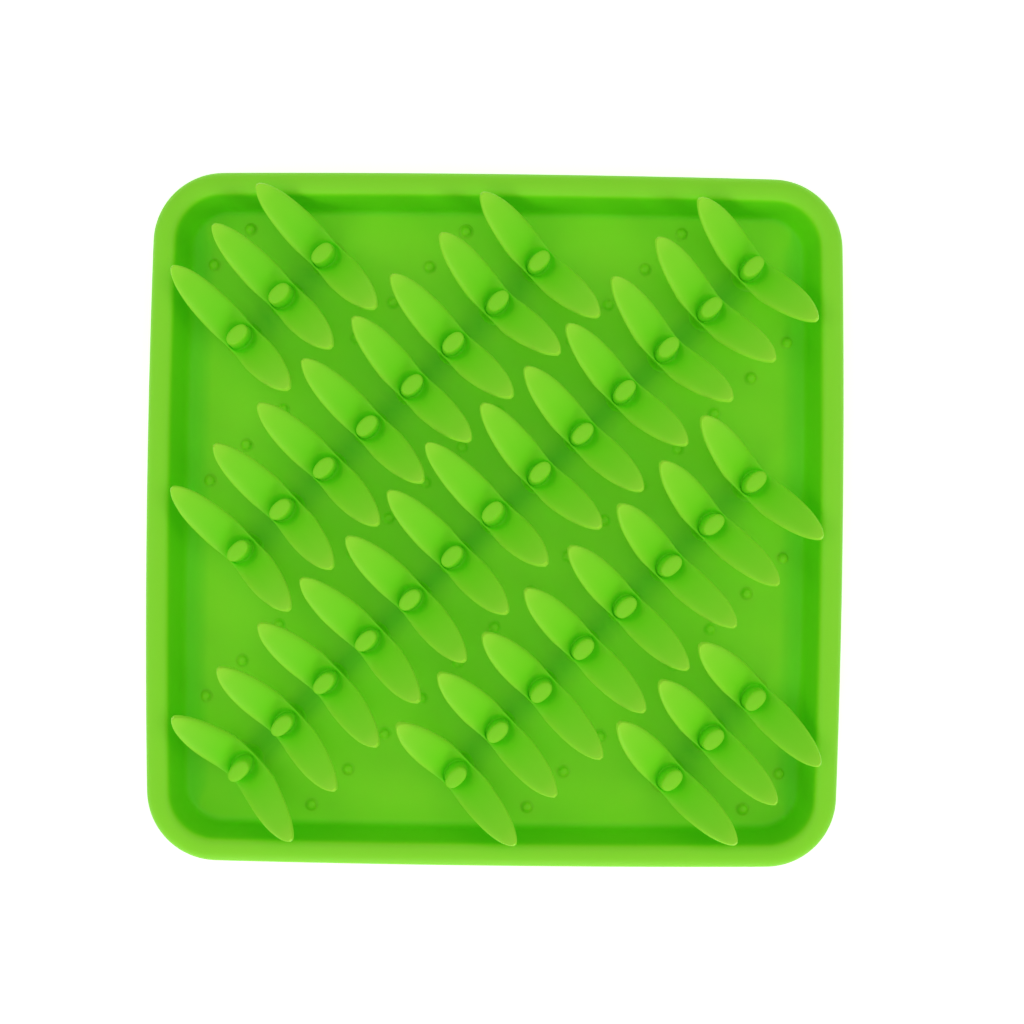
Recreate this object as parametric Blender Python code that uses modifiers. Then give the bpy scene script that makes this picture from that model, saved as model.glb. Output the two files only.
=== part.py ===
"""Slow-feeding mat for a pet, moulded in one piece of lime-green silicone.

A square tray with a rounded rim carries five diagonal rows of tufts. Each tuft is a short
round stem with an oval peg on top and two leaves that rise away from the peg, so food
thrown on the mat falls into the lanes under the leaves. Small round nubs on the tray's
floor keep the food from sliding.

The real mat is one moulding. Here the tray and every tuft are solids of their own, so that
the lanes between the stems stay open, and a tuft stands a hair above the floor.

Metres, +Z up. The origin is under the middle of the tray, on the surface it stands on.
+X is the mat's right side and +Y its far side, seen from above.
"""

import math

import bmesh
import bpy
from mathutils import Matrix, Vector

# The tray, over its rim.
TRAY_WIDTH = 0.1997          # along X, at the middle of the sides
TRAY_DEPTH = 0.1984          # along Y, at the middle of the sides
SIDE_BULGE = 0.0010          # how far the left and right sides bow out
END_BULGE = 0.0006           # how far the near and far sides bow out
CORNER_RADIUS = 0.0203
RIM_HEIGHT = 0.0160
BEAD_WIDTH = 0.0071          # the rounded bead along the top of the rim
BEAD_RISE = 0.0033           # from its widest level to its top
BEAD_SQUARENESS = 0.80       # 1 makes its section an ellipse, and less makes it boxier
FLOOR_THICKNESS = 0.0025
FOOT_INSET = 0.0082          # from the rim's outside to the edge of the flat underside
FLOOR_INSET = 0.0109         # from the rim's outside to the edge of the flat floor

CORNER_STEPS = 6
SIDE_STEPS = 6
BEAD_STEPS = 7

# The rows of tufts run from the near left to the far right.
ROW_ANGLE = math.radians(44.83)
ROW_DIRECTION = Vector((math.cos(ROW_ANGLE), math.sin(ROW_ANGLE), 0.0))
LEAF_DIRECTION = Vector((math.sin(ROW_ANGLE), -math.cos(ROW_ANGLE), 0.0))
ROW_COUNTS = (3, 8, 13, 8, 3)
ROW_SPACING = 0.0445         # from row to row
TUFT_PITCH = 0.01716         # from stem to stem along a row
TUFT_FIELD_SHIFT = Vector((0.0007, 0.0008, 0.0))

# Low round nubs on the floor, in lines midway between the rows.
NUB_LINE_COUNTS = (2, 8, 14, 14, 8, 2)
NUB_LINE_SPACING = 0.0446
NUB_PITCH = 0.0150
NUB_FIELD_SHIFT = Vector((0.0004, 0.0001, 0.0))
NUB_RADIUS = 0.0018
NUB_HEIGHT = 0.0009
NUB_SINK = 0.0003            # how far a nub's widest level lies under the floor's surface

# One tuft. Heights are above the tray's floor.
TUFT_GAP = 0.0003            # between the floor and the tuft's own solid
STEM_FOOT_RADIUS = 0.0059
STEM_RADIUS = 0.0047
STEM_FLARE_HEIGHT = 0.0016
STEM_HEIGHT = 0.0062
PEG_HEIGHT = 0.0126
PEG_TOP_LENGTH = 0.0072      # along the row
PEG_TOP_WIDTH = 0.0046       # along the leaves
PEG_BASE_GROWTH = 1.18       # how much wider the peg is where it leaves the stem
PEG_EDGE = 0.0006
LEAF_REACH_NEAR = 0.0226     # from the stem's axis to the tip of the leaf towards +X -Y
LEAF_REACH_FAR = 0.0242      # the same, of the leaf towards -X +Y
LEAF_HALF_WIDTH = 0.0052
LEAF_TIP_HEIGHT = 0.0222
LEAF_ROOT_HEIGHT = 0.0071    # the leaf's upper face where it leaves the peg's foot
LEAF_ROOT_REACH = 0.0041
LEAF_ROOT_THICKNESS = 0.0030
LEAF_TIP_THICKNESS = 0.0015
LEAF_STEEPNESS = 1.30        # slope at the root, in parts of the leaf's mean slope
LEAF_TAPER = 3.0             # exponents of the leaf's outline
LEAF_ROUNDING = 0.60
# Where the sections lie, in parts of the way from the root to the tip. The first one is
# inside the stem, and its width is that share of the leaf's own.
LEAF_STATIONS = (-0.14, 0.24, 0.54, 0.78, 0.92, 0.985)
LEAF_BURIED_WIDTH = 0.86

STEM_SIDES = 10
PEG_SIDES = 10

LIME = (0.26, 0.75, 0.025, 1.0)
LEAF_LIME = (0.30, 0.77, 0.035, 1.0)


def remove_everything():
    for item in list(bpy.data.objects):
        bpy.data.objects.remove(item, do_unlink=True)


def new_collection(name):
    collection = bpy.data.collections.new(name)
    bpy.context.scene.collection.children.link(collection)
    return collection


def silicone(name, colour):
    """Semi-matte moulded silicone."""
    material = bpy.data.materials.new(name)
    material.use_nodes = True
    shader = material.node_tree.nodes["Principled BSDF"]
    shader.inputs["Base Color"].default_value = colour
    shader.inputs["Roughness"].default_value = 0.5
    shader.inputs["Metallic"].default_value = 0.0
    material.diffuse_color = colour
    return material


def mesh_object(name, mesh, collection, material=None):
    if material is not None:
        mesh.materials.clear()
        mesh.materials.append(material)
    mesh.shade_smooth()
    mesh.set_sharp_from_angle(angle=math.radians(30.0))
    item = bpy.data.objects.new(name, mesh)
    collection.objects.link(item)
    return item


def as_guide(item):
    """A shape that only lends its form to another one."""
    item.hide_render = True
    item.display_type = "WIRE"


def loft(rings, name):
    """A closed solid through rings of equally many points, counter-clockwise from outside its far end."""
    bm = bmesh.new()
    levels = [[bm.verts.new(point) for point in ring] for ring in rings]
    for lower, upper in zip(levels, levels[1:]):
        count = len(lower)
        for i in range(count):
            j = (i + 1) % count
            bm.faces.new((lower[i], lower[j], upper[j], upper[i]))
    bm.faces.new(list(reversed(levels[0])))
    bm.faces.new(levels[-1])
    mesh = bpy.data.meshes.new(name)
    bm.to_mesh(mesh)
    bm.free()
    return mesh


# ---------------------------------------------------------------- tray

def outline(inset, height):
    """The mat's outline, counter-clockwise: a rounded square with slightly bowed sides."""
    half_x = TRAY_WIDTH / 2 - inset
    half_y = TRAY_DEPTH / 2 - inset
    radius = CORNER_RADIUS - inset
    centre_x = half_x - SIDE_BULGE - radius
    centre_y = half_y - END_BULGE - radius
    points = []
    for quarter in range(4):
        along_y = quarter % 2 == 0
        sign = 1.0 if quarter < 2 else -1.0
        reach = centre_y if along_y else centre_x
        out = half_x if along_y else half_y
        bulge = SIDE_BULGE if along_y else END_BULGE
        for step in range(1, SIDE_STEPS):
            t = 2.0 * step / SIDE_STEPS - 1.0
            level = sign * (out - bulge * t * t)
            travel = sign * t * reach
            points.append((level, travel, height) if along_y else (-travel, level, height))
        corner_x = centre_x if quarter in (0, 3) else -centre_x
        corner_y = centre_y if quarter in (0, 1) else -centre_y
        for step in range(CORNER_STEPS + 1):
            angle = math.radians(90.0) * (quarter + step / CORNER_STEPS)
            points.append((corner_x + radius * math.cos(angle),
                           corner_y + radius * math.sin(angle), height))
    return points


def tray_section():
    """(inset, height) from the underside's edge, up outside, over the bead and down to the floor."""
    half = BEAD_WIDTH / 2
    bead_level = RIM_HEIGHT - BEAD_RISE
    section = [
        (FOOT_INSET, 0.0),
        (FOOT_INSET - 0.0010, 0.0005),
        (FOOT_INSET - 0.0016, 0.0018),
        (FOOT_INSET - 0.0046, bead_level - 0.0026),
    ]
    first, last = math.radians(-40.0), math.radians(190.0)
    for step in range(BEAD_STEPS + 1):
        angle = first + (last - first) * step / BEAD_STEPS
        across = math.copysign(abs(math.cos(angle)) ** BEAD_SQUARENESS, math.cos(angle))
        up = math.copysign(abs(math.sin(angle)) ** BEAD_SQUARENESS, math.sin(angle))
        section.append((half - half * across, bead_level + BEAD_RISE * up))
    section += [
        (FLOOR_INSET - 0.0024, FLOOR_THICKNESS + 0.0024),
        (FLOOR_INSET - 0.0019, FLOOR_THICKNESS + 0.0010),
        (FLOOR_INSET - 0.0009, FLOOR_THICKNESS + 0.0002),
        (FLOOR_INSET, FLOOR_THICKNESS),
    ]
    return section


def grid_places(counts, spacing, pitch, shift):
    """Places in diagonal lines: line by line, and along each line from the near left."""
    middle = (len(counts) - 1) / 2
    for line, count in enumerate(counts):
        for place in range(count):
            along = (place - (count - 1) / 2) * pitch
            across = (line - middle) * spacing
            yield line, place, shift + ROW_DIRECTION * along + LEAF_DIRECTION * across


def nub_mesh():
    """All the nubs, as separate flattened balls that are sunk into the floor."""
    bm = bmesh.new()
    flatten = Matrix.Diagonal((1.0, 1.0, (NUB_HEIGHT + NUB_SINK) / NUB_RADIUS, 1.0))
    for _, _, place in grid_places(NUB_LINE_COUNTS, NUB_LINE_SPACING, NUB_PITCH, NUB_FIELD_SHIFT):
        centre = place + Vector((0.0, 0.0, FLOOR_THICKNESS - NUB_SINK))
        bmesh.ops.create_uvsphere(bm, u_segments=8, v_segments=5, radius=NUB_RADIUS,
                                  matrix=Matrix.Translation(centre) @ flatten)
    mesh = bpy.data.meshes.new("floor_nubs")
    bm.to_mesh(mesh)
    bm.free()
    return mesh


def make_tray(parts, guides):
    rings = [outline(inset, height) for inset, height in tray_section()]
    tray = mesh_object("tray", loft(rings, "tray"), parts, silicone("tray_silicone", LIME))
    nubs = mesh_object("floor_nubs", nub_mesh(), guides)
    as_guide(nubs)
    union = tray.modifiers.new("nubs", "BOOLEAN")
    union.operation = "UNION"
    union.object = nubs
    return tray


# ---------------------------------------------------------------- tuft

def stem_object(guides):
    """The round stem, turned, with a flared foot."""
    profile = [
        (0.0, STEM_HEIGHT),
        (STEM_RADIUS, STEM_HEIGHT),
        (STEM_RADIUS, STEM_FLARE_HEIGHT),
        (STEM_FOOT_RADIUS, TUFT_GAP),
        (0.0, TUFT_GAP),
    ]
    mesh = bpy.data.meshes.new("stem")
    mesh.from_pydata([(x, 0.0, z) for x, z in profile],
                     [(i, i + 1) for i in range(len(profile) - 1)], [])
    stem = bpy.data.objects.new("stem", mesh)
    guides.objects.link(stem)
    screw = stem.modifiers.new("turn", "SCREW")
    screw.steps = STEM_SIDES
    screw.render_steps = STEM_SIDES
    screw.use_merge_vertices = True
    screw.merge_threshold = 0.00001
    return stem


def peg_object(guides):
    """The oval peg, a tapered cylinder with a rounded top edge, longer along the row."""
    foot = STEM_HEIGHT - 0.0015
    bm = bmesh.new()
    bmesh.ops.create_cone(bm, cap_ends=True, segments=PEG_SIDES, radius1=0.5 * PEG_BASE_GROWTH,
                          radius2=0.5, depth=PEG_HEIGHT - foot)
    top_edges = [edge for edge in bm.edges if all(vert.co.z > 0.0 for vert in edge.verts)]
    for vert in bm.verts:
        vert.co.x *= PEG_TOP_WIDTH
        vert.co.y *= PEG_TOP_LENGTH
        vert.co.z += (PEG_HEIGHT + foot) / 2
    bmesh.ops.bevel(bm, geom=top_edges, offset=PEG_EDGE, segments=1, affect="EDGES")
    mesh = bpy.data.meshes.new("peg")
    bm.to_mesh(mesh)
    bm.free()
    return mesh_object("peg", mesh, guides)


def leaf_object(name, reach, side, guides):
    """One leaf, lofted outwards along the side of the tuft that side (1 or -1) gives."""
    span = reach - LEAF_ROOT_REACH
    rise = LEAF_TIP_HEIGHT - LEAF_ROOT_HEIGHT
    rings = []
    for station in LEAF_STATIONS:
        out = LEAF_ROOT_REACH + span * station
        top = LEAF_ROOT_HEIGHT + rise * station * (LEAF_STEEPNESS - (LEAF_STEEPNESS - 1) * station)
        slope = rise / span * (LEAF_STEEPNESS - 2 * (LEAF_STEEPNESS - 1) * station)
        along = Vector((1.0, 0.0, slope)).normalized()
        up = Vector((-along.z, 0.0, along.x))
        half = LEAF_HALF_WIDTH * (1.0 - (out / reach) ** LEAF_TAPER) ** LEAF_ROUNDING
        if station < 0.0:
            half *= LEAF_BURIED_WIDTH
        thick = LEAF_ROOT_THICKNESS + (LEAF_TIP_THICKNESS - LEAF_ROOT_THICKNESS) * max(station, 0.0)
        middle = Vector((out, 0.0, top)) - up * (thick / 2)
        edge = max(half - 0.4 * thick, 0.35 * half)
        corners = ((half, 0.0), (edge, 0.5), (-edge, 0.5), (-half, 0.0), (-edge, -0.5), (edge, -0.5))
        ring = [middle + Vector((0.0, y, 0.0)) + up * (thick * level) for y, level in corners]
        if side < 0:
            ring = [Vector((-point.x, point.y, point.z)) for point in reversed(ring)]
        rings.append(ring)
    return mesh_object(name, loft(rings, name), guides)


def tuft_mesh(guides):
    """Stem, peg and both leaves as one closed solid, on the tuft's own axis."""
    stem = stem_object(guides)
    pieces = [
        peg_object(guides),
        leaf_object("leaf_near", LEAF_REACH_NEAR, 1, guides),
        leaf_object("leaf_far", LEAF_REACH_FAR, -1, guides),
    ]
    for piece in pieces:
        union = stem.modifiers.new(piece.name, "BOOLEAN")
        union.operation = "UNION"
        union.object = piece
    bpy.context.view_layer.update()
    graph = bpy.context.evaluated_depsgraph_get()
    mesh = bpy.data.meshes.new_from_object(stem.evaluated_get(graph))
    mesh.name = "tuft"
    for piece in [stem] + pieces:
        bpy.data.objects.remove(piece, do_unlink=True)
    return mesh


def make_tufts(parts, guides):
    mesh = tuft_mesh(guides)
    material = silicone("tuft_silicone", LEAF_LIME)
    turn = math.atan2(LEAF_DIRECTION.y, LEAF_DIRECTION.x)
    for row, place, spot in grid_places(ROW_COUNTS, ROW_SPACING, TUFT_PITCH, TUFT_FIELD_SHIFT):
        tuft = mesh_object(f"tuft_{row + 1}_{place + 1:02d}", mesh, parts, material)
        tuft.location = spot + Vector((0.0, 0.0, FLOOR_THICKNESS))
        tuft.rotation_euler = (0.0, 0.0, turn)


def main():
    remove_everything()
    parts = new_collection("feeding_mat")
    guides = new_collection("guides")
    make_tray(parts, guides)
    make_tufts(parts, guides)


main()
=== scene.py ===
"""Looks of a lime-green silicone feeding mat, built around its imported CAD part.

The tray, its nubs and every tuft are rebuilt as smooth moulded forms in the CAD solids'
places, from the same dimensions. Metres, in the part's own frame: +X is the mat's right
side, +Y its far side, and the origin is under the tray's middle. In a tuft's own frame +X runs
along its near leaf.
"""

import math
import random

import bpy
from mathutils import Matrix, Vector


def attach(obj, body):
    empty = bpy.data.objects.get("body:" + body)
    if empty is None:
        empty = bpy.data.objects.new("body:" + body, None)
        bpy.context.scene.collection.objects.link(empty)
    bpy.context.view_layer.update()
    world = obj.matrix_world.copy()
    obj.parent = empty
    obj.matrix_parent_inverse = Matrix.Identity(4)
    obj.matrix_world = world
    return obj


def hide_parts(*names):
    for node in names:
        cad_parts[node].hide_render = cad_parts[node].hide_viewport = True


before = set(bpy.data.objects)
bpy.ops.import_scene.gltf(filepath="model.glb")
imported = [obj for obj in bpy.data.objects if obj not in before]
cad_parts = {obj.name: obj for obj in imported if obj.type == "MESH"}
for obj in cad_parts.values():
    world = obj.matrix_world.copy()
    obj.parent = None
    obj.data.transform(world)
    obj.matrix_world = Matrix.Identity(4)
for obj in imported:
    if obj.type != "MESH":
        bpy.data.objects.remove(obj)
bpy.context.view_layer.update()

MM = 0.001

# ------------------------------------------------------------------ sizes shared with the part
TRAY_WIDTH = 0.1997
TRAY_DEPTH = 0.1984
SIDE_BULGE = 0.0010
END_BULGE = 0.0006
CORNER_RADIUS = 0.0203
FLOOR_THICKNESS = 0.0025

ROW_ANGLE = math.radians(44.83)
ROW_DIRECTION = Vector((math.cos(ROW_ANGLE), math.sin(ROW_ANGLE), 0.0))
LEAF_DIRECTION = Vector((math.sin(ROW_ANGLE), -math.cos(ROW_ANGLE), 0.0))
ROW_COUNTS = (3, 8, 13, 8, 3)
ROW_SPACING = 0.0445
TUFT_PITCH = 0.01716
TUFT_FIELD_SHIFT = Vector((0.0007, 0.0008, 0.0))
NUB_LINE_COUNTS = (2, 8, 14, 14, 8, 2)
NUB_LINE_SPACING = 0.0446
NUB_PITCH = 0.0150
NUB_FIELD_SHIFT = Vector((0.0004, 0.0001, 0.0))

PEG_HEIGHT = 0.0126
LEAF_REACH_NEAR = 0.0226
LEAF_REACH_FAR = 0.0242
LEAF_HALF_WIDTH = 0.0053
LEAF_TIP_HEIGHT = 0.0222
LEAF_ROOT_HEIGHT = 0.0071
LEAF_ROOT_REACH = 0.0041
LEAF_ROOT_THICKNESS = 0.0030
LEAF_TIP_THICKNESS = 0.0016
LEAF_STEEPNESS = 1.3
LEAF_TAPER = 3.0
LEAF_ROUNDING = 0.6

# ------------------------------------------------------------------ looks only
SEED = 41
CORNER_STEPS = 16
SIDE_STEPS = 20
FLOOR_WAVE = 0.00012         # each of the two waves that make the moulded floor uneven
TUFT_COLUMNS = 16
LEAF_COLUMNS = 8             # of those, the ones that each leaf grows from
NUB_SIDES = 24

# How far a tuft's peg leans to +X and +Y where that shows. The others lean by chance.
LEANS = {
    (1, 3): (-0.0002, -0.0006),
    (2, 5): (0.0008, -0.0002),
    (2, 7): (0.0008, -0.0002),
    (2, 8): (0.0002, -0.0008),
    (3, 1): (0.0002, -0.0012),
    (3, 4): (-0.0005, 0.0003),
    (3, 6): (-0.0005, 0.0006),
    (3, 7): (-0.0013, 0.0014),
    (3, 8): (0.0002, 0.0008),
    (3, 11): (0.0000, 0.0006),
    (3, 13): (-0.0004, -0.0003),
    (4, 1): (0.0006, -0.0009),
    (4, 3): (0.0003, -0.0005),
    (4, 6): (0.0006, -0.0002),
    (4, 7): (0.0004, -0.0003),
    (5, 1): (0.0005, 0.0004),
    (5, 3): (-0.0003, -0.0007),
}
COMMON_LEAN = Vector((0.0001, 0.0002, 0.0))
LEAN_CURVE = 1.2             # a lean grows with height to this power
CHANCE_LEAN = 0.0002
CHANCE_TURN = math.radians(0.8)
CHANCE_REACH = 0.012


# ------------------------------------------------------------------ mesh helpers

def new_object(name, points, faces, material, marks=None):
    """A smooth mesh object. marks holds lists of one number a point, for the material to read."""
    mesh = bpy.data.meshes.new(name)
    mesh.from_pydata([tuple(point) for point in points], [], faces)
    for layer_name, values in (marks or {}).items():
        layer = mesh.attributes.new(layer_name, "FLOAT", "POINT")
        layer.data.foreach_set("value", values)
    mesh.shade_smooth()
    mesh.materials.append(material)
    item = bpy.data.objects.new(name, mesh)
    bpy.context.scene.collection.objects.link(item)
    return item


def subdivide(item, levels):
    smooth = item.modifiers.new("smooth", "SUBSURF")
    smooth.levels = levels
    smooth.render_levels = levels


def band(lower, upper, skip=()):
    """The quads between two rings of equally many indices, but for the columns in skip."""
    count = len(lower)
    return [(lower[i], lower[(i + 1) % count], upper[(i + 1) % count], upper[i])
            for i in range(count) if i not in skip]


def grid_places(counts, spacing, pitch, shift):
    """Places in diagonal lines: line by line, and along each line from the near left."""
    middle = (len(counts) - 1) / 2
    for line, count in enumerate(counts):
        for place in range(count):
            along_row = (place - (count - 1) / 2) * pitch
            across_rows = (line - middle) * spacing
            yield line, place, shift + ROW_DIRECTION * along_row + LEAF_DIRECTION * across_rows


def ease(value, start, end):
    """0 before start, 1 after end and smooth between them."""
    t = min(max((value - start) / (end - start), 0.0), 1.0)
    return t * t * (3.0 - 2.0 * t)


# ------------------------------------------------------------------ painted shade and highlight marks
#
# Marks on the meshes paint light and shade into the silicone's colour. One paints shade, darker:
# in the slots between neighbouring stems, on the tray's wall and round the nubs' feet. One paints
# the shade of hollows as a purer, less red green: in the moats round the pegs, on the wall and
# towards the leaves' roots. One paints highlights, paler: on the bead's top and on the leaves'
# edges and tips.

SLOT_LENGTH = 0.0043         # how far the painted shade of a slot spreads along the leaves
SLOT_FADE = (0.0056, 0.0105)                     # how far from its middle it fades along the row
SLOT_FADE_HEIGHTS = (0.0040, 0.0070)             # and how far above the floor, on the stems


def slot_middles():
    """The middles of the slots between neighbouring stems of a row."""
    return [spot - ROW_DIRECTION * TUFT_PITCH / 2
            for _, place, spot in grid_places(ROW_COUNTS, ROW_SPACING, TUFT_PITCH, TUFT_FIELD_SHIFT)
            if place > 0]


SLOTS = slot_middles()


def slot_shade(x, y):
    """How much shade is painted at the place, from 0 to 1: most in a slot's middle."""
    most_shade = 0.0
    for slot in SLOTS:
        out = Vector((x - slot.x, y - slot.y, 0.0))
        along_leaf, along_row = out.dot(LEAF_DIRECTION), abs(out.dot(ROW_DIRECTION))
        if abs(along_leaf) < 3 * SLOT_LENGTH and along_row < TUFT_PITCH:
            shade = math.exp(-(along_leaf / SLOT_LENGTH) ** 2) * (1.0 - ease(along_row, *SLOT_FADE))
            most_shade = max(most_shade, shade)
    return most_shade


WALL_PAINTED_SHADE = 0.30            # how dark the painted shade on the wall is where it is strongest
# In the tray section's millimetres: the insets over which the shade painted on the wall comes in
# under the bead and fades out at its foot, how much further in it fades out at the left and right
# sides, and the heights and insets over which the highlight painted on the bead comes in and fades out.
WALL_START = (6.5, 7.2)
WALL_END = (8.7, 10.9)
WALL_END_WIDER = (0.6, 2.9)
BEAD_HIGHLIGHT_HEIGHTS = (12.0, 15.0)
BEAD_HIGHLIGHT_END = (6.0, 6.9)


def wall_shade(inset, share):
    """How much shade is painted on the wall, inside and at its outer foot. share is 1 at the left and
    right sides.
    """
    end = [plain + wider * share for plain, wider in zip(WALL_END, WALL_END_WIDER)]
    return ease(inset, *WALL_START) * (1.0 - ease(inset, *end))


def bead_highlight(inset, height):
    """How much highlight is painted on the bead: most on its top, and less down its outer face."""
    return ease(height, *BEAD_HIGHLIGHT_HEIGHTS) * (1.0 - ease(inset, *BEAD_HIGHLIGHT_END))


# ------------------------------------------------------------------ tray

def outline(inset):
    """(x, y, share) round the mat; share is 1 along its left and right sides and 0 at the others."""
    half_x = TRAY_WIDTH / 2 - inset
    half_y = TRAY_DEPTH / 2 - inset
    radius = CORNER_RADIUS - inset
    centre_x = half_x - SIDE_BULGE - radius
    centre_y = half_y - END_BULGE - radius
    points = []
    for quarter in range(4):
        along_y = quarter % 2 == 0
        sign = 1.0 if quarter < 2 else -1.0
        reach = centre_y if along_y else centre_x
        out = half_x if along_y else half_y
        bulge = SIDE_BULGE if along_y else END_BULGE
        for step in range(1, SIDE_STEPS):
            t = 2.0 * step / SIDE_STEPS - 1.0
            level = sign * (out - bulge * t * t)
            travel = sign * t * reach
            points.append((level, travel, 1.0) if along_y else (-travel, level, 0.0))
        corner_x = centre_x if quarter in (0, 3) else -centre_x
        corner_y = centre_y if quarter in (0, 1) else -centre_y
        for step in range(CORNER_STEPS + 1):
            angle = math.radians(90.0) * (quarter + step / CORNER_STEPS)
            points.append((corner_x + radius * math.cos(angle), corner_y + radius * math.sin(angle),
                           max(0.0, 2.0 * math.cos(angle) ** 2 - 1.0)))
    return points


# The tray's section, in millimetres, from the underside's edge up outside, over the rim and
# down to the floor: inset, height, and how far both move at the left and right sides, where
# the wall runs out in a wider foot with a faint crease.
TRAY_SECTION = (
    (9.2, 0.0, 0.0, 0.0),
    (8.2, 0.0, 0.0, 0.0),
    (7.6, 0.2, 0.0, 0.0),
    (7.2, 0.6, 0.0, 0.0),
    (6.6, 1.8, 0.0, 0.0),
    (5.6, 4.5, 0.0, 0.0),
    (4.4, 8.0, 0.0, 0.0),
    (3.4, 9.9, 0.0, 0.0),
    (2.2, 10.5, 0.0, 0.0),
    (1.0, 11.0, 0.0, 0.0),
    (0.3, 11.7, 0.0, 0.0),
    (0.0, 12.7, 0.0, 0.0),
    (0.15, 13.6, 0.0, 0.0),
    (0.6, 14.5, 0.0, 0.0),
    (1.3, 15.2, 0.0, 0.0),
    (2.2, 15.7, 0.0, 0.0),
    (3.3, 15.95, 0.0, 0.0),
    (4.3, 16.0, 0.0, 0.0),
    (5.2, 15.95, 0.0, 0.0),
    (5.9, 15.75, 0.0, 0.0),
    (6.45, 15.35, 0.0, 0.0),
    (6.8, 14.75, 0.0, 0.0),
    (7.0, 13.9, 0.0, 0.0),
    (7.2, 12.6, 0.0, 0.0),
    (7.5, 10.6, 0.0, 0.0),
    (7.9, 8.2, 0.05, 0.0),
    (8.3, 5.9, 0.1, 0.05),
    (8.6, 4.5, 0.3, 0.15),
    (8.85, 3.65, 0.6, 0.25),
    (9.25, 3.05, 1.0, 0.35),
    (9.8, 2.75, 1.4, 0.45),
    (10.3, 2.6, 1.6, 0.45),
    (10.9, 2.53, 1.9, 0.25),
    (11.8, 2.5, 2.0, 0.06),
    (14.6, 2.5, 1.6, 0.0),
)
INNER_INSET = 0.0170         # where the flat floor's own rings begin
FLOOR_RINGS = 42


def floor_wave(x, y):
    """Two crossing waves, which die out at the walls."""
    calm = (1.0 - (2.0 * x / TRAY_WIDTH) ** 2) * (1.0 - (2.0 * y / TRAY_DEPTH) ** 2)
    return FLOOR_WAVE * calm * (math.sin(61.0 * x + 23.0 * y) + math.sin(37.0 * x - 71.0 * y + 1.3))


def make_tray(material):
    points, faces, rings, painted_shades, hollow_shades, bead_highlights = [], [], [], [], [], []

    def add_ring(ring):
        start = len(points)
        points.extend(ring)
        rings.append(list(range(start, start + len(ring))))

    for inset, height, wider, higher in TRAY_SECTION:
        plain, wide = outline(inset * MM), outline((inset + wider) * MM)
        add_ring([(x + (wide_x - x) * share, y + (wide_y - y) * share, (height + higher * share) * MM)
                  for (x, y, share), (wide_x, wide_y, _) in zip(plain, wide)])
        # The wall gets painted shade, both as the purer green of hollows and darker; the bead gets a
        # painted highlight.
        shades = [wall_shade(inset, share) for _, _, share in plain]
        hollow_shades.extend(shades)
        painted_shades.extend([WALL_PAINTED_SHADE * shade for shade in shades])
        bead_highlights.extend([bead_highlight(inset, height)] * len(plain))
    innermost = outline(INNER_INSET)
    for step in range(FLOOR_RINGS):
        scale = 1.0 - (step + 0.5) / FLOOR_RINGS
        ring = [(x * scale, y * scale, FLOOR_THICKNESS + floor_wave(x * scale, y * scale))
                for x, y, _ in innermost]
        add_ring(ring)
        # The floor gets painted shade in the slots between neighbouring stems.
        painted_shades.extend([slot_shade(x, y) for x, y, _ in ring])
        hollow_shades.extend([0.0] * len(ring))
        bead_highlights.extend([0.0] * len(ring))
    for lower, upper in zip(rings, rings[1:]):
        faces += band(lower, upper)
    faces.append(tuple(reversed(rings[0])))
    faces.append(tuple(rings[-1]))
    tray = new_object("mat_tray", points, faces, material, {"painted_shade": painted_shades, "hollow_shade": hollow_shades, "painted_highlight": bead_highlights})
    subdivide(tray, 1)
    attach(tray, "root")
    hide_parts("tray")
    return tray


NUB_HEIGHT = 0.00101
# From the top down: radius, height above the floor and how much shade is painted there, in a ring round
# the nub's foot.
NUB_SECTION = (
    (0.00045, 0.00098, 0.0),
    (0.00088, 0.00088, 0.0),
    (0.00114, 0.00068, 0.0),
    (0.00130, 0.00040, 0.1),
    (0.00152, 0.00015, 0.2),
    (0.00187, 0.00004, 0.1),
    (0.00225, -0.00008, 0.0),
    (0.00225, -0.00060, 0.0),
)


def make_nubs(material):
    """The floor's round nubs. Each is a turned dome whose skirt runs out under the floor."""
    points, faces, painted_shades = [], [], []
    for _, _, place in grid_places(NUB_LINE_COUNTS, NUB_LINE_SPACING, NUB_PITCH, NUB_FIELD_SHIFT):
        level = FLOOR_THICKNESS + floor_wave(place.x, place.y)
        rings = []
        for radius, height, painted_shade in reversed(NUB_SECTION):
            start = len(points)
            for k in range(NUB_SIDES):
                angle = math.tau * k / NUB_SIDES
                points.append((place.x + radius * math.cos(angle), place.y + radius * math.sin(angle),
                               level + height))
            rings.append(list(range(start, start + NUB_SIDES)))
            painted_shades.extend([painted_shade] * NUB_SIDES)
        for lower, upper in zip(rings, rings[1:]):
            faces += band(lower, upper)
        faces.append(tuple(reversed(rings[0])))
        top = len(points)
        points.append((place.x, place.y, level + NUB_HEIGHT))
        painted_shades.append(0.0)
        faces += [(rings[-1][k], rings[-1][(k + 1) % NUB_SIDES], top) for k in range(NUB_SIDES)]
    nubs = new_object("mat_nubs", points, faces, material, {"painted_shade": painted_shades})
    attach(nubs, "root")
    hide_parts("tray")
    return nubs


# ------------------------------------------------------------------ tufts

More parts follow.
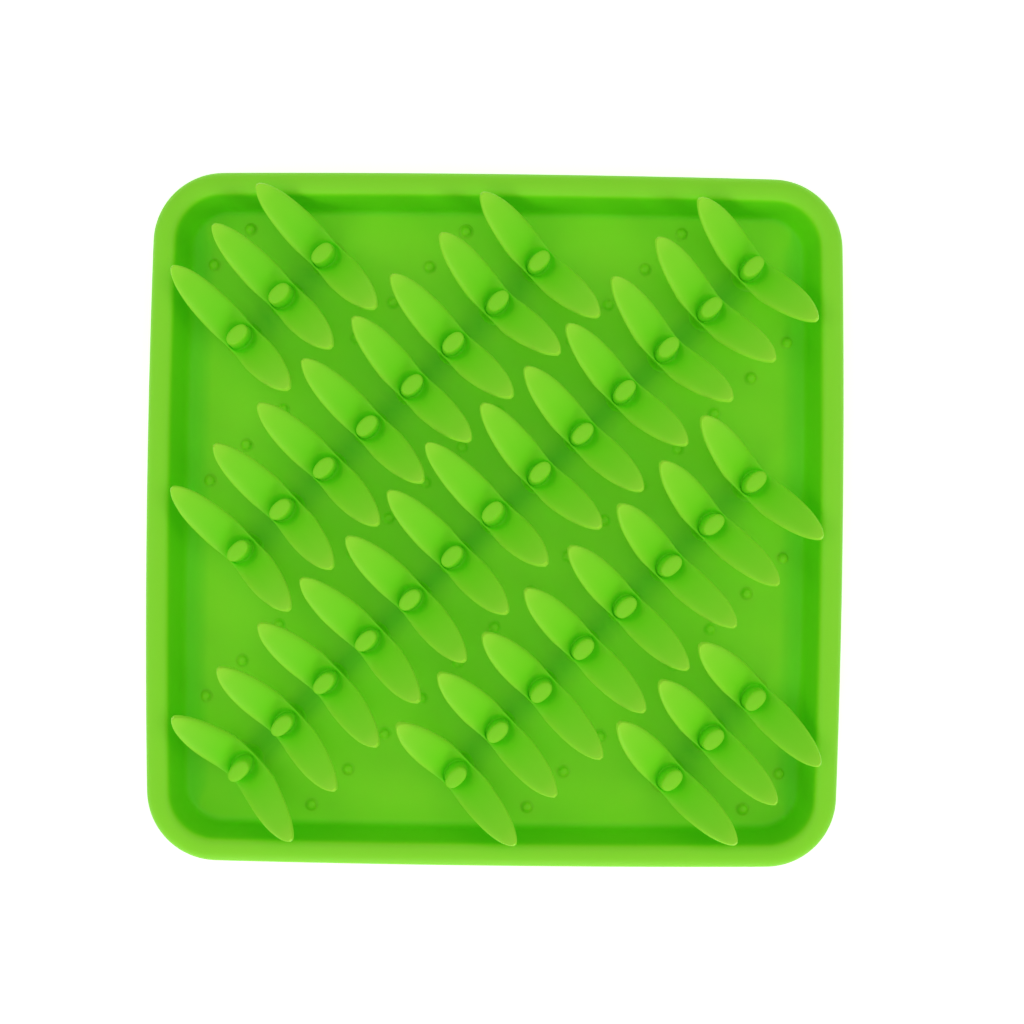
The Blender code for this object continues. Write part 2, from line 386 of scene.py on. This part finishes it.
# The cage's rings from the foot up: radius along the leaves, radius along the row, height
# above the floor, how much higher the ring stands where the leaves grow, and how much shade is
# painted on it as a purer green, most in the moat round the peg.
BODY_RINGS = (
    (0.0061, 0.0061, -0.00045, 0.0, 0.0),
    (0.0058, 0.0058, -0.0001, 0.0, 0.0),
    (0.0053, 0.0053, 0.0002, 0.0, 0.0),
    (0.00495, 0.00495, 0.0009, 0.0, 0.0),
    (0.0048, 0.0048, 0.0021, 0.0, 0.0),
    (0.0047, 0.0047, 0.0040, 0.0, 0.0),
    (0.0050, 0.0049, 0.0060, 0.0018, 0.5),
    (0.0043, 0.0046, 0.0063, 0.0003, 0.8),
    (0.0037, 0.0043, 0.0060, -0.0003, 1.0),
    (0.0031, 0.0040, 0.0054, -0.0001, 1.0),
    (0.0026, 0.0039, 0.0054, 0.0, 1.0),
    (0.00245, 0.0038, 0.0070, 0.0, 0.9),
    (0.0024, 0.0037, 0.0095, 0.0, 0.4),
    (0.0023, 0.0037, 0.0114, 0.0, 0.1),
    (0.00222, 0.0036, 0.01205, 0.0, 0.1),
    (0.0019, 0.0033, 0.01245, 0.0, 0.1),
    (0.0010, 0.0020, 0.01268, 0.0, 0.1),
)
UNDERSIDE_RING = 5           # the leaves grow between this ring and the next one
FIRST_PEG_RING = 9           # the rings from here up are the peg
PEG_SHIFT = Vector((-0.0002, -0.00025, 0.0))     # the peg stands a little off the stem's middle
PEG_SQUARE_HEIGHT = 0.0090   # above this the peg is a squarer oval
ROUND_POWER = 2.0
SQUARE_POWER = 2.3
# How far out from the tuft's axis a near leaf's sections stand.
LEAF_OUTS = (0.0060, 0.0075, 0.0100, 0.0130, 0.0160, 0.0185, 0.0204, 0.0216, 0.0222, 0.0225)
# From here out, a highlight is painted on the leaf's tip.
TIP_HIGHLIGHT_START = LEAF_OUTS[-5]
# The leaf's section from its near left edge to the other: where its points lie across, and how
# far they lie below its middle, so that both edges are bevelled.
SECTION_SHARES = (-1.0, -0.90, -0.70, -0.25, 0.25, 0.68, 0.88, 1.0)
SECTION_DROPS = (0.00095, 0.00045, 0.00010, 0.0, 0.0, 0.00012, 0.00050, 0.00105)
EDGE_HIGHLIGHTS = [0.85, 0.6, 0.2, 0.0, 0.0, 0.0, 0.1, 0.5]    # and how much highlight is painted on them, most on the edge that faces the near left, where the light comes from
EDGE_THINNING = 0.30         # how much thinner the leaf is at its edges
EDGE_WANDER = 0.00005
LEAF_SHADE = 0.90            # how much shade is painted on a leaf towards its root, as a purer green


def superellipse(angle, radius_x, radius_y, power):
    c, s = math.cos(angle), math.sin(angle)
    scale = (abs(c) ** power + abs(s) ** power) ** (-1.0 / power)
    return radius_x * c * scale, radius_y * s * scale


def leaf_loop(out, reach, side, chance):
    """A leaf's section as one loop: along its underside, and back along its top."""
    span = reach - LEAF_ROOT_REACH
    rise = LEAF_TIP_HEIGHT - LEAF_ROOT_HEIGHT
    station = (out - LEAF_ROOT_REACH) / span
    top = LEAF_ROOT_HEIGHT + rise * station * (LEAF_STEEPNESS - (LEAF_STEEPNESS - 1) * station)
    slope = rise / span * (LEAF_STEEPNESS - 2 * (LEAF_STEEPNESS - 1) * station)
    along = Vector((1.0, 0.0, slope)).normalized()
    up = Vector((-along.z, 0.0, along.x))
    half = LEAF_HALF_WIDTH * max(1.0 - (out / reach) ** LEAF_TAPER, 0.0) ** LEAF_ROUNDING
    thick = LEAF_ROOT_THICKNESS + (LEAF_TIP_THICKNESS - LEAF_ROOT_THICKNESS) * station
    face = Vector((out, 0.0, top))
    bevel = half / LEAF_HALF_WIDTH
    section = list(zip(SECTION_SHARES, SECTION_DROPS))
    if side < 0:
        section = [(-share, drop) for share, drop in reversed(section)]
    upper, lower = [], []
    for share, drop in section:
        edge = abs(share) == 1.0
        wander = chance.uniform(-EDGE_WANDER, EDGE_WANDER) if edge else 0.0
        place = face + Vector((0.0, share * half + wander, 0.0))
        upper.append(place - up * drop * bevel)
        lower.append(place - up * (thick - (EDGE_THINNING * thick if edge else 0.0)))
    loop = lower + upper[::-1]
    if side < 0:
        loop = [Vector((-point.x, -point.y, point.z)) for point in loop]
    return loop


def tuft_cage(chance, reach_near, reach_far):
    """Points, faces, painted highlight and painted shade marks of a tuft on its own axis, its near leaf
    towards +X.
    """
    points, faces, highlights, hollow_shades, rings = [], [], [], [], []

    def add(ring, ring_highlights, ring_hollow_shades):
        start = len(points)
        points.extend(ring)
        highlights.extend(ring_highlights)
        hollow_shades.extend(ring_hollow_shades)
        return list(range(start, start + len(ring)))

    for level, (radius_x, radius_y, height, lift, hollow_shade) in enumerate(BODY_RINGS):
        ring = []
        power = SQUARE_POWER if height > PEG_SQUARE_HEIGHT else ROUND_POWER
        for k in range(TUFT_COLUMNS):
            angle = math.tau * (k + 0.5) / TUFT_COLUMNS
            x, y = superellipse(angle, radius_x, radius_y, power)
            ring.append(Vector((x, y, height + lift * math.cos(angle) ** 2)))
        if level >= FIRST_PEG_RING:
            ring = [point + PEG_SHIFT for point in ring]
        rings.append(add(ring, [0.0] * TUFT_COLUMNS, [hollow_shade] * TUFT_COLUMNS))
    half = LEAF_COLUMNS // 2
    for level, (lower, upper) in enumerate(zip(rings, rings[1:])):
        skip = ()
        if level == UNDERSIDE_RING:
            skip = [(middle + k) % TUFT_COLUMNS for middle in (0, TUFT_COLUMNS // 2)
                    for k in range(-half, half - 1)]
        faces += band(lower, upper, skip)
    faces.append(tuple(reversed(rings[0])))
    faces.append(tuple(rings[-1]))

    for side, reach, middle in ((1, reach_near, 0), (-1, reach_far, TUFT_COLUMNS // 2)):
        columns = [(middle + k) % TUFT_COLUMNS for k in range(-half, half)]
        last = [rings[UNDERSIDE_RING][k] for k in columns]
        last += [rings[UNDERSIDE_RING + 1][k] for k in reversed(columns)]
        stretch = (reach - LEAF_ROOT_REACH) / (LEAF_REACH_NEAR - LEAF_ROOT_REACH)
        edge = EDGE_HIGHLIGHTS if side > 0 else EDGE_HIGHLIGHTS[::-1]
        for out in LEAF_OUTS:
            own_out = LEAF_ROOT_REACH + (out - LEAF_ROOT_REACH) * stretch
            # A leaf gets a painted highlight on its edges and tip, and painted shade that fades out from
            # its root.
            tip = max(0.0, (out - TIP_HIGHLIGHT_START) / (LEAF_OUTS[-1] - TIP_HIGHLIGHT_START))
            loop = leaf_loop(own_out, reach, side, chance)
            shades = [LEAF_SHADE * max(1.0 - math.hypot(point.x, point.y) / reach, 0.0) for point in loop]
            ring = add(loop, [max(mark, tip) for mark in edge + edge[::-1]], shades)
            faces += band(last, ring)
            last = ring
        faces += [(last[i], last[i + 1], last[-2 - i], last[-1 - i]) for i in range(LEAF_COLUMNS - 1)]
    return points, faces, highlights, hollow_shades


def make_tuft(row, place, spot, chance, material):
    name = f"{row}_{place:02d}"
    reach_near = LEAF_REACH_NEAR * (1.0 + chance.uniform(-CHANCE_REACH, CHANCE_REACH))
    reach_far = LEAF_REACH_FAR * (1.0 + chance.uniform(-CHANCE_REACH, CHANCE_REACH))
    turn = math.atan2(LEAF_DIRECTION.y, LEAF_DIRECTION.x) + chance.uniform(-CHANCE_TURN, CHANCE_TURN)
    chance_lean = (chance.uniform(-CHANCE_LEAN, CHANCE_LEAN), chance.uniform(-CHANCE_LEAN, CHANCE_LEAN))
    lean = COMMON_LEAN + Vector(LEANS.get((row, place), chance_lean) + (0.0,))
    points, faces, highlights, hollow_shades = tuft_cage(chance, reach_near, reach_far)
    foot = Vector((spot.x, spot.y, FLOOR_THICKNESS + floor_wave(spot.x, spot.y)))
    c, s = math.cos(turn), math.sin(turn)
    placed = []
    for point in points:
        share = max(point.z, 0.0) / PEG_HEIGHT
        placed.append(foot + Vector((c * point.x - s * point.y, s * point.x + c * point.y, point.z))
                      + lean * share ** LEAN_CURVE)
    # Shade is painted on the stem's foot where it stands in a slot between neighbouring stems.
    painted_shades = [(1.0 - ease(point.z, *SLOT_FADE_HEIGHTS)) * slot_shade(spread.x, spread.y)
             for point, spread in zip(points, placed)]
    tuft = new_object("mat_tuft_" + name, placed, faces, material,
                      {"painted_highlight": highlights, "hollow_shade": hollow_shades, "painted_shade": painted_shades})
    subdivide(tuft, 2)
    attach(tuft, "root")
    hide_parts("tuft_" + name)
    return tuft


def make_tufts(material):
    chance = random.Random(SEED)
    for line, place, spot in grid_places(ROW_COUNTS, ROW_SPACING, TUFT_PITCH, TUFT_FIELD_SHIFT):
        make_tuft(line + 1, place + 1, spot, chance, material)


# ------------------------------------------------------------------ materials

def new_material(name):
    material = bpy.data.materials.new(name)
    material.use_nodes = True
    tree = material.node_tree
    return material, tree, tree.nodes["Principled BSDF"]


def add_noise(tree, scale, detail, roughness=0.5):
    """A noise texture in the mat's own coordinates. scale is in features a metre."""
    place = tree.nodes.new("ShaderNodeTexCoord")
    noise = tree.nodes.new("ShaderNodeTexNoise")
    noise.inputs["Scale"].default_value = scale
    noise.inputs["Detail"].default_value = detail
    noise.inputs["Roughness"].default_value = roughness
    tree.links.new(place.outputs["Object"], noise.inputs["Vector"])
    return noise.outputs["Fac"]


def add_ramp(tree, source, stops):
    ramp = tree.nodes.new("ShaderNodeValToRGB")
    ramp.color_ramp.elements[0].position, ramp.color_ramp.elements[0].color = stops[0]
    ramp.color_ramp.elements[1].position, ramp.color_ramp.elements[1].color = stops[1]
    tree.links.new(source, ramp.inputs["Fac"])
    return ramp.outputs["Color"]


def add_mix(tree, share, first, second):
    mix = tree.nodes.new("ShaderNodeMix")
    mix.data_type = "RGBA"
    for value, socket in ((share, mix.inputs[0]), (first, mix.inputs[6]), (second, mix.inputs[7])):
        if isinstance(value, bpy.types.NodeSocket):
            tree.links.new(value, socket)
        else:
            socket.default_value = value
    return mix.outputs[2]


# The body colours with their paler cloud colours, and the painted highlight colours of the bead and of
# the leaves' edges.
TRAY_GREEN = (0.265, 0.860, 0.012, 1.0)
TRAY_PALE_GREEN = (0.295, 0.880, 0.016, 1.0)
BEAD_HIGHLIGHT_GREEN = (0.285, 0.845, 0.028, 1.0)
TUFT_GREEN = (0.278, 0.822, 0.022, 1.0)
TUFT_PALE_GREEN = (0.308, 0.842, 0.026, 1.0)
LEAF_EDGE_HIGHLIGHT_GREEN = (0.370, 0.870, 0.040, 1.0)
# The painted shade colours: a purer green for hollows, and a darker green for the slots, the wall and the
# nubs' feet.
HOLLOW_SHADE_GREEN = (0.175, 0.850, 0.009, 1.0)
PAINTED_SHADE_GREEN = (0.135, 0.690, 0.002, 1.0)
CLOUD_SCALE = 45.0           # this and the next two are features a metre
HAZE_SCALE = 300.0
GRAIN_SCALE = 2600.0
GRAIN_DEPTH = 0.00006
ROUGHNESS_RANGE = (0.42, 0.56)


def silicone(name, body, pale, painted_highlight):
    """Semi-matte silicone: a slightly cloudy colour, with painted shade and painted highlights mixed in
    where the marks say.
    """
    material, tree, shader = new_material(name)
    cloud = add_noise(tree, CLOUD_SCALE, 3.0)
    colour = add_ramp(tree, cloud, ((0.30, body), (0.72, pale)))
    for layer_name, marked in (("hollow_shade", HOLLOW_SHADE_GREEN), ("painted_highlight", painted_highlight), ("painted_shade", PAINTED_SHADE_GREEN)):
        mark = tree.nodes.new("ShaderNodeAttribute")
        mark.attribute_name = layer_name
        colour = add_mix(tree, mark.outputs["Fac"], colour, marked)
    tree.links.new(colour, shader.inputs["Base Color"])
    haze = tree.nodes.new("ShaderNodeMapRange")
    haze.inputs["To Min"].default_value, haze.inputs["To Max"].default_value = ROUGHNESS_RANGE
    tree.links.new(add_noise(tree, HAZE_SCALE, 4.0), haze.inputs["Value"])
    tree.links.new(haze.outputs["Result"], shader.inputs["Roughness"])
    bump = tree.nodes.new("ShaderNodeBump")
    bump.inputs["Strength"].default_value = 0.12
    bump.inputs["Distance"].default_value = GRAIN_DEPTH
    tree.links.new(add_noise(tree, GRAIN_SCALE, 3.0), bump.inputs["Height"])
    tree.links.new(bump.outputs["Normal"], shader.inputs["Normal"])
    shader.inputs["IOR"].default_value = 1.41
    shader.inputs["Specular IOR Level"].default_value = 0.28
    shader.inputs["Subsurface Weight"].default_value = 0.3
    shader.inputs["Subsurface Radius"].default_value = (0.6, 1.0, 0.25)
    shader.inputs["Subsurface Scale"].default_value = 0.0016
    return material


def floor_material():
    material, tree, shader = new_material("studio_floor")
    shader.inputs["Base Color"].default_value = (0.93, 0.93, 0.93, 1.0)
    shader.inputs["Roughness"].default_value = 0.9
    shader.inputs["Emission Color"].default_value = (1.0, 1.0, 1.0, 1.0)
    shader.inputs["Emission Strength"].default_value = 0.50
    return material


# ------------------------------------------------------------------ studio

CAMERA_PLACE = Vector((0.0049, 0.0023, 0.4125))
CAMERA_ROLL = math.radians(0.685)
CAMERA_LENS = 49.0


def make_floor():
    half = 2.0
    corners = ((-half, -half, 0.0), (half, -half, 0.0), (half, half, 0.0), (-half, half, 0.0))
    floor = new_object("studio_floor", corners, [(0, 1, 2, 3)], floor_material())


# Name, azimuth from +X towards +Y and elevation in degrees, and watts.
LIGHTS = (
    ("front", 270.0, 20.0, 4.2),
    ("left", 180.0, 45.0, 1.6),
    ("right", 0.0, 45.0, 1.4),
    ("top", 0.0, 90.0, 0.7),
)
LIGHT_DISTANCE = 1.4
LIGHT_SIZE = 0.6


def area_light(name, azimuth, elevation, power):
    """A square soft light aimed at the middle of the mat."""
    data = bpy.data.lights.new(name, "AREA")
    data.shape = "SQUARE"
    data.size = LIGHT_SIZE
    data.energy = power
    light = bpy.data.objects.new(name, data)
    turn, lift = math.radians(azimuth), math.radians(elevation)
    direction = Vector((math.cos(lift) * math.cos(turn), math.cos(lift) * math.sin(turn), math.sin(lift)))
    light.location = LIGHT_DISTANCE * direction
    light.rotation_euler = (-light.location).to_track_quat("-Z", "Y").to_euler()
    bpy.context.scene.collection.objects.link(light)


def make_studio():
    scene = bpy.context.scene
    world = bpy.data.worlds.new("studio")
    world.use_nodes = True
    background = world.node_tree.nodes["Background"]
    background.inputs["Color"].default_value = (1.0, 1.0, 1.0, 1.0)
    background.inputs["Strength"].default_value = 0.55
    scene.world = world
    for name, azimuth, elevation, power in LIGHTS:
        area_light(name, azimuth, elevation, power)
    scene.view_settings.view_transform = "Standard"
    camera_data = bpy.data.cameras.new("camera")
    camera_data.lens = CAMERA_LENS
    camera_data.sensor_width = 36.0
    camera_data.clip_start = 0.01
    camera = bpy.data.objects.new("camera", camera_data)
    camera.location = CAMERA_PLACE
    camera.rotation_euler = (0.0, 0.0, CAMERA_ROLL)
    scene.collection.objects.link(camera)
    scene.camera = camera


def main():
    tray_look = silicone("tray_silicone_look", TRAY_GREEN, TRAY_PALE_GREEN, BEAD_HIGHLIGHT_GREEN)
    tuft_look = silicone("tuft_silicone_look", TUFT_GREEN, TUFT_PALE_GREEN, LEAF_EDGE_HIGHLIGHT_GREEN)
    make_tray(tray_look)
    make_nubs(tray_look)
    make_tufts(tuft_look)
    make_floor()
    make_studio()


main()
